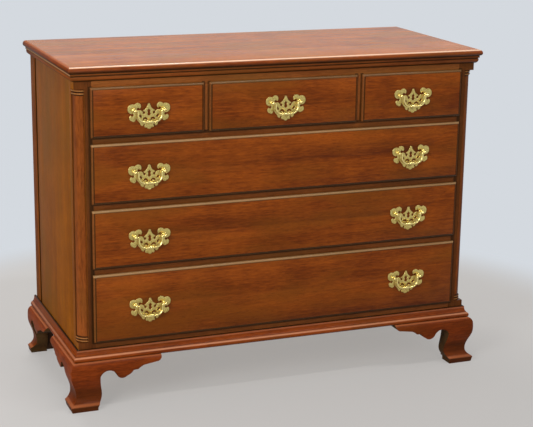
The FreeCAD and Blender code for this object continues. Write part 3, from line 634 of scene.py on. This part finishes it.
def off_level(middle, direction):
    return abs(direction.z) < straight


def under_top_row(middle, direction):
    return middle.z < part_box("top_middle_front")[0].z


def sawn(middle, direction):
    """The scrolled edges of a foot's brackets, which are square to their faces."""
    outward = abs(middle.x) - side_face
    forward = case_front - middle.y
    crosswise = forward > outward or outward < -bracket_inset
    facing = direction.y if crosswise else direction.x
    return abs(facing) < on_edge and middle.z < base_low.z - sawn_below


def on_lip(middle, direction):
    return abs(direction.y) < straight and middle.y < case_front


def on_lip_end(middle, direction):
    return on_lip(middle, direction) and abs(direction.x) > abs(direction.z)


# --- the chest, part by part ----------------------------------------------------------------------
def add_top():
    top = board_piece("top_board", wood("top_mahogany", painted_lit_top_look), "case", top_ease)
    edge_painted_shading = [(painted_edge_highlight, arris_rub), (painted_shade_brown, edge_glaze)]
    refinish(top, wood("top_edge_mahogany", top_edge_look, edge_painted_shading), off_level)
    side_edge_painted_shading = [(painted_side_edge_highlight, arris_rub), (painted_shade_brown, edge_glaze)]
    refinish(top, wood("top_side_edge_mahogany", top_side_edge_look, side_edge_painted_shading), at_end)


def add_top_moulding():
    # painted shade in the quirks and along the moulding's foot; a painted highlight on the fillet of
    # its ends
    dark = [
        (painted_shade_brown, level_lines([under_low.z], *under_foot_line)),
        (painted_shade_brown, level_lines([under_high.z - quirk_drop, under_high.z], *quirk_line)),
    ]
    painted_highlights = [(painted_fillet_highlight, level_lines([under_high.z - fillet_drop], *fillet_line))]
    under_wood = wood("top_moulding_mahogany", under_look, dark)
    under_side_wood = wood("top_moulding_side_mahogany", under_side_look, painted_highlights + dark)
    under = board_piece("top_moulding", under_wood, "case", moulding_ease)
    refinish(under, under_side_wood, sideways)


def add_base_moulding():
    # painted shade along the cove and both edges; painted highlights on the bead and the small round
    dark = [
        (painted_shade_brown, level_lines([base_low.z + cove_rise], *cove_line)),
        (painted_shade_brown, level_lines([base_low.z, base_high.z], *base_edge_line)),
    ]
    painted_highlights = [
        (painted_base_highlight, level_lines([base_low.z + bead_rise], *bead_line)),
        (painted_base_highlight, level_lines([base_high.z - round_drop], *round_line)),
    ]
    side_painted_highlights = [(painted_base_highlight, level_lines([base_low.z + side_bead_rise], *side_bead_line))]
    base_wood = wood("base_mahogany", base_look, painted_highlights + dark)
    base_side_wood = wood("base_side_mahogany", base_side_look, side_painted_highlights + dark)
    base = board_piece("base_moulding", base_wood, "case", moulding_ease)
    refinish(base, base_side_wood, sideways)


def add_front_frame():
    case_wood = wood("case_mahogany", case_look, [(painted_shade_brown, case_glaze)])
    # the same case wood painted darker on the rails under the top row: painted shade
    shaded_rail_wood = wood("shaded_rail_mahogany", shaded_rail_look, [(painted_shade_brown, case_glaze)])
    rails = board_piece("front_rails", case_wood, "case", case_ease)
    refinish(rails, shaded_rail_wood, under_top_row)
    board_piece("drawer_dividers", case_wood, "case", case_ease)


def add_rear_stiles():
    stile_wood = wood("stile_mahogany", stile_look, [(painted_shade_brown, stile_glaze)])
    board_piece("rear_stiles", stile_wood, "case", case_ease)


def add_sides_and_feet():
    """The sides, the front posts with their quarter columns, and the feet."""
    side_wood = wood("side_mahogany", side_look)
    post_wood = wood("post_mahogany", post_look, [(painted_shade_brown, case_glaze)])
    column_painted_shading = [(painted_ring_highlight, ring_rub), (painted_shade_brown, column_glaze)]
    column_wood = wood("column_mahogany", column_look, column_painted_shading)
    foot_painted_shading = [(painted_foot_highlight, foot_rub), (painted_shade_brown, foot_glaze)]
    foot_wood = wood("foot_mahogany", foot_look, foot_painted_shading)
    foot_side_wood = wood("foot_side_mahogany", foot_side_look, foot_painted_shading)
    foot_sawn_wood = wood("foot_sawn_edge_mahogany", sawn_look)
    for side in ("left", "right"):
        board_piece(side + "_side_panel", side_wood, "case", panel_ease)
        post = board_piece(side + "_front_post", post_wood, "case", panel_ease)
        refinish(post, side_wood, sideways)
        board_piece(side + "_quarter_column", column_wood, "case", column_ease)
        for end in ("front_", "rear_"):
            foot = board_piece(
                end + side + "_foot", foot_wood, "case", moulding_ease, clamp=False)
            refinish(foot, foot_side_wood, sideways)
            refinish(foot, foot_sawn_wood, sawn)


def add_inside(inner_wood):
    for node in ("back_boards", "bottom_board", "drawer_runners", "drawer_guides"):
        board_piece(node, inner_wood, "case", inner_ease)
    # painted shade: the glue blocks inside the feet are painted dark
    shaded_block_wood = wood("shaded_glue_block_pine", shaded_block_look)
    board_piece("foot_glue_blocks", shaded_block_wood, "case", inner_ease)


def add_drawers(inner_wood):
    front_wood = wood("drawer_front_mahogany", front_look, [(painted_shade_brown, pull_shade)])
    lip_painted_shading = [(painted_lip_highlight, lip_rub), (painted_shade_brown, lip_glaze)]
    lip_wood = wood("thumb_moulding_mahogany", lip_look, lip_painted_shading)
    lip_end_wood = wood("thumb_moulding_end_mahogany", lip_end_look, lip_painted_shading)
    plate_brass = brass("plate_brass", brass_bright, brass_dull, plate_roughness, plate_cast_depth)
    for name in drawer_names:
        body = name + "_drawer"
        front = board_piece(name + "_front", front_wood, body, front_ease)
        refinish(front, lip_wood, on_lip)
        refinish(front, lip_end_wood, on_lip_end)
        board_piece(name + "_box", inner_wood, body, inner_ease)
        board_piece(name + "_bottom", inner_wood, body, inner_ease)
        plates = name + "_pull_plates"
        shape = copy_boards(plates, whole_faces=False)
        piece = finish_piece(plates + "_brass", shape, plate_brass, body, [plates])
        ease_edges(piece, plate_ease, clamp=False)


def polish_bails():
    """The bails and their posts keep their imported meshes."""
    bail_brass = brass("bail_brass", polished_brass, brass_bright, bail_roughness, bail_cast_depth)
    for name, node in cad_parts.items():
        if name.endswith("_bail") or name.endswith("_pull_posts"):
            node.material_slots[0].material = bail_brass


# --- setting --------------------------------------------------------------------------------------
def add_camera():
    """The camera, rolled a little, at its distance from the point that it looks at."""
    level = cos(camera_elevation)
    back = Vector((sin(camera_azimuth) * level, -cos(camera_azimuth) * level, sin(camera_elevation)))
    right = Vector((0, 0, 1)).cross(back).normalized()
    up = back.cross(right)
    rolled_right = right * cos(camera_roll) + up * sin(camera_roll)
    rolled_up = up * cos(camera_roll) - right * sin(camera_roll)
    place = camera_target + back * camera_distance
    lens = bpy.data.cameras.new("camera")
    lens.lens = camera_lens
    lens.sensor_width = camera_sensor
    lens.shift_x, lens.shift_y = camera_shift
    camera = bpy.data.objects.new("camera", lens)
    turn = Matrix((rolled_right, rolled_up, back)).transposed().to_4x4()
    camera.matrix_world = Matrix.Translation(place) @ turn
    bpy.context.collection.objects.link(camera)
    bpy.context.scene.camera = camera


def floor_cloth():
    """Pale cloth that turns into the backdrop further out."""
    finish = Finish("floor_cloth")
    finish.give("Base Color", linear(floor_grey))
    finish.give("Roughness", floor_roughness)
    finish.give("Specular IOR Level", floor_gloss)
    away = finish.length(finish.node("TexCoord", {}).outputs["Object"])
    path = finish.node("LightPath", {}).outputs
    seen = finish.work_out("MAXIMUM", path["Is Camera Ray"], path["Is Glossy Ray"])
    seen = finish.work_out("MAXIMUM", seen, path["Is Transmission Ray"])
    share = finish.work_out("MULTIPLY", seen, finish.ramp(away, *floor_fade, floor_lift, 1.0))
    seen_colour = finish.blend(finish.ramp(away, *floor_fade), linear(floor_grey), linear(backdrop))
    plain = finish.node("Emission", {"Color": seen_colour, "Strength": 1.0}).outputs[0]
    mixed = finish.node("MixShader", {0: share, 1: finish.shader.outputs[0], 2: plain}).outputs[0]
    finish.put(finish.tree.nodes["Material Output"].inputs["Surface"], mixed)
    return finish.material


def add_floor():
    shape = bmesh.new()
    bmesh.ops.create_grid(shape, x_segments=1, y_segments=1, size=floor_size)
    mesh = bpy.data.meshes.new("floor")
    shape.to_mesh(mesh)
    shape.free()
    mesh.materials.append(floor_cloth())
    floor = bpy.data.objects.new("floor", mesh)
    bpy.context.collection.objects.link(floor)


def add_world():
    """Soft even light, with the backdrop's colour where the camera or a gloss looks past the chest."""
    world = bpy.data.worlds.new("studio")
    world.use_nodes = True
    bpy.context.scene.world = world
    tree = world.node_tree
    light = tree.nodes["Background"]
    light.inputs["Color"].default_value = daylight
    light.inputs["Strength"].default_value = daylight_strength
    seen = tree.nodes.new("ShaderNodeBackground")
    seen.inputs["Color"].default_value = linear(backdrop)
    path = tree.nodes.new("ShaderNodeLightPath")
    either = path.outputs["Is Camera Ray"]
    for ray in ("Is Glossy Ray", "Is Transmission Ray"):
        larger = tree.nodes.new("ShaderNodeMath")
        larger.operation = "MAXIMUM"
        tree.links.new(either, larger.inputs[0])
        tree.links.new(path.outputs[ray], larger.inputs[1])
        either = larger.outputs[0]
    mix = tree.nodes.new("ShaderNodeMixShader")
    tree.links.new(either, mix.inputs["Fac"])
    tree.links.new(light.outputs[0], mix.inputs[1])
    tree.links.new(seen.outputs[0], mix.inputs[2])
    tree.links.new(mix.outputs[0], tree.nodes["World Output"].inputs["Surface"])


def add_lamp(name, place, target, size, power):
    """A soft light of a given width and height that looks at a point of the chest."""
    lamp = bpy.data.lights.new(name, "AREA")
    lamp.shape = "RECTANGLE"
    lamp.size, lamp.size_y = size
    lamp.energy = power
    made = bpy.data.objects.new(name, lamp)
    made.location = place
    made.rotation_euler = (Vector(target) - Vector(place)).to_track_quat("-Z", "Y").to_euler()
    bpy.context.collection.objects.link(made)


def main():
    add_camera()
    add_floor()
    add_world()
    for name, settings in lamps.items():
        add_lamp(name, *settings)
    add_top()
    add_top_moulding()
    add_base_moulding()
    add_front_frame()
    add_rear_stiles()
    add_sides_and_feet()
    inner_wood = wood("plain_poplar", inner_look, patch_share=bare_share)
    add_inside(inner_wood)
    add_drawers(inner_wood)
    polish_bails()
    bpy.context.scene.view_settings.view_transform = "Standard"


main()
